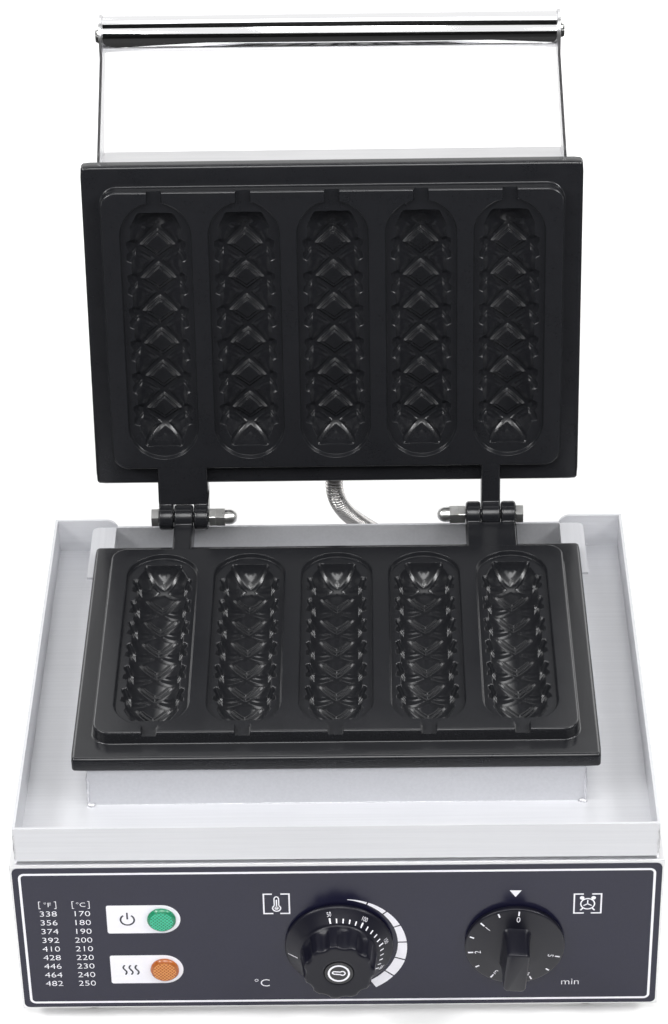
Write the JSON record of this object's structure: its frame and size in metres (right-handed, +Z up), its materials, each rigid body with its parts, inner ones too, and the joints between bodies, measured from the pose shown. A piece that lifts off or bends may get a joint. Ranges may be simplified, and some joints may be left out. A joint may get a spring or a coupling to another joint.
{
  "type": "hot dog waffle maker",
  "caption": "Open countertop waffle maker for hot dogs on sticks, with lattice troughs in two black plates, a hinged lid with a tube handle, a steel base, a thermostat and a timer.",
  "frame": {"origin": "centre of the open machine's bounding box, at the level of the table under the feet", "axes": "+X to the right seen from the front panel, +Y from the front panel to the rear, +Z up"},
  "size_m": [0.34, 0.3708, 0.4355],
  "materials": {
    "brushed_sheet": "brushed stainless sheet",
    "satin_sheet": "satin stainless sheet",
    "coated_casting": "cast aluminium with a black non-stick coat",
    "plated_fastener": "bright plated steel",
    "chromed_tube": "polished chromed tube",
    "conduit_steel": "wound galvanised strip",
    "brass_post": "turned brass and copper",
    "mineral_wool": "pressed mineral fibre",
    "printed_film": "printed polyester film",
    "black_plastic": "moulded black plastic",
    "pale_plastic": "moulded pale plastic",
    "green_lens": "clear green plastic",
    "orange_lens": "clear orange plastic",
    "black_rubber": "moulded rubber"
  },
  "bodies": {
    "base": {"base_housing": "brushed_sheet", "panel_film": "printed_film", "bottom_cover": "brushed_sheet", "bottom_screws": "plated_fastener", "feet": "black_rubber", "foot_screws": "plated_fastener", "foot_nuts": "plated_fastener", "drip_tray": "satin_sheet", "tray_nuts": "plated_fastener", "plate_riser": "satin_sheet", "lower_plate": "coated_casting", "plate_screws": "plated_fastener", "lower_heater": "plated_fastener", "lower_clamp": "plated_fastener", "lower_insulation": "mineral_wool", "lower_clamp_screws": "plated_fastener", "thermostat_body": "pale_plastic", "thermostat_bulb": "brass_post", "timer_body": "pale_plastic", "control_screws": "plated_fastener", "power_lamp": "green_lens", "heat_lamp": "orange_lens", "lamp_nuts": "pale_plastic", "terminal_block": "pale_plastic", "power_gland": "black_plastic", "base_lead_gland": "plated_fastener", "gland_nuts": "plated_fastener", "lead_conduit": "conduit_steel", "hinge_bolts": "plated_fastener", "hinge_nuts": "plated_fastener", "acorn_nuts": "plated_fastener"},
    "lid": {"upper_plate": "coated_casting", "upper_heater": "plated_fastener", "upper_clamp": "plated_fastener", "upper_insulation": "mineral_wool", "upper_clamp_screws": "plated_fastener", "upper_cover": "brushed_sheet", "cover_posts": "brass_post", "cover_screws": "plated_fastener", "left_arm": "brushed_sheet", "right_arm": "brushed_sheet", "arm_screws": "plated_fastener", "arm_nuts": "plated_fastener", "handle_tube": "chromed_tube", "handle_plugs": "plated_fastener", "handle_screws": "plated_fastener", "lid_lead_gland": "plated_fastener", "lid_gland_nut": "plated_fastener"},
    "thermostat_control": {"thermostat_knob": "black_plastic", "thermostat_cap": "black_plastic", "thermostat_shaft": "plated_fastener"},
    "timer_control": {"timer_knob": "black_plastic", "timer_shaft": "plated_fastener"}
  },
  "joints": [
    {"name": "lid_hinge", "type": "hinge", "parent": "base", "child": "lid", "pos_m": [0, 0.09742, 0.15205], "axis": [1, 0, 0], "range_deg": [0, 99], "deforming": ["lead_conduit"]},
    {"name": "thermostat_turn", "type": "hinge", "parent": "base", "child": "thermostat_control", "pos_m": [0.0005, -0.15988, 0.055], "axis": [0, -1, 0], "range_deg": [-90, 206]},
    {"name": "timer_turn", "type": "hinge", "parent": "base", "child": "timer_control", "pos_m": [0.0932, -0.15988, 0.055], "axis": [0, -1, 0], "range_deg": [-257, 0]}
  ]
}
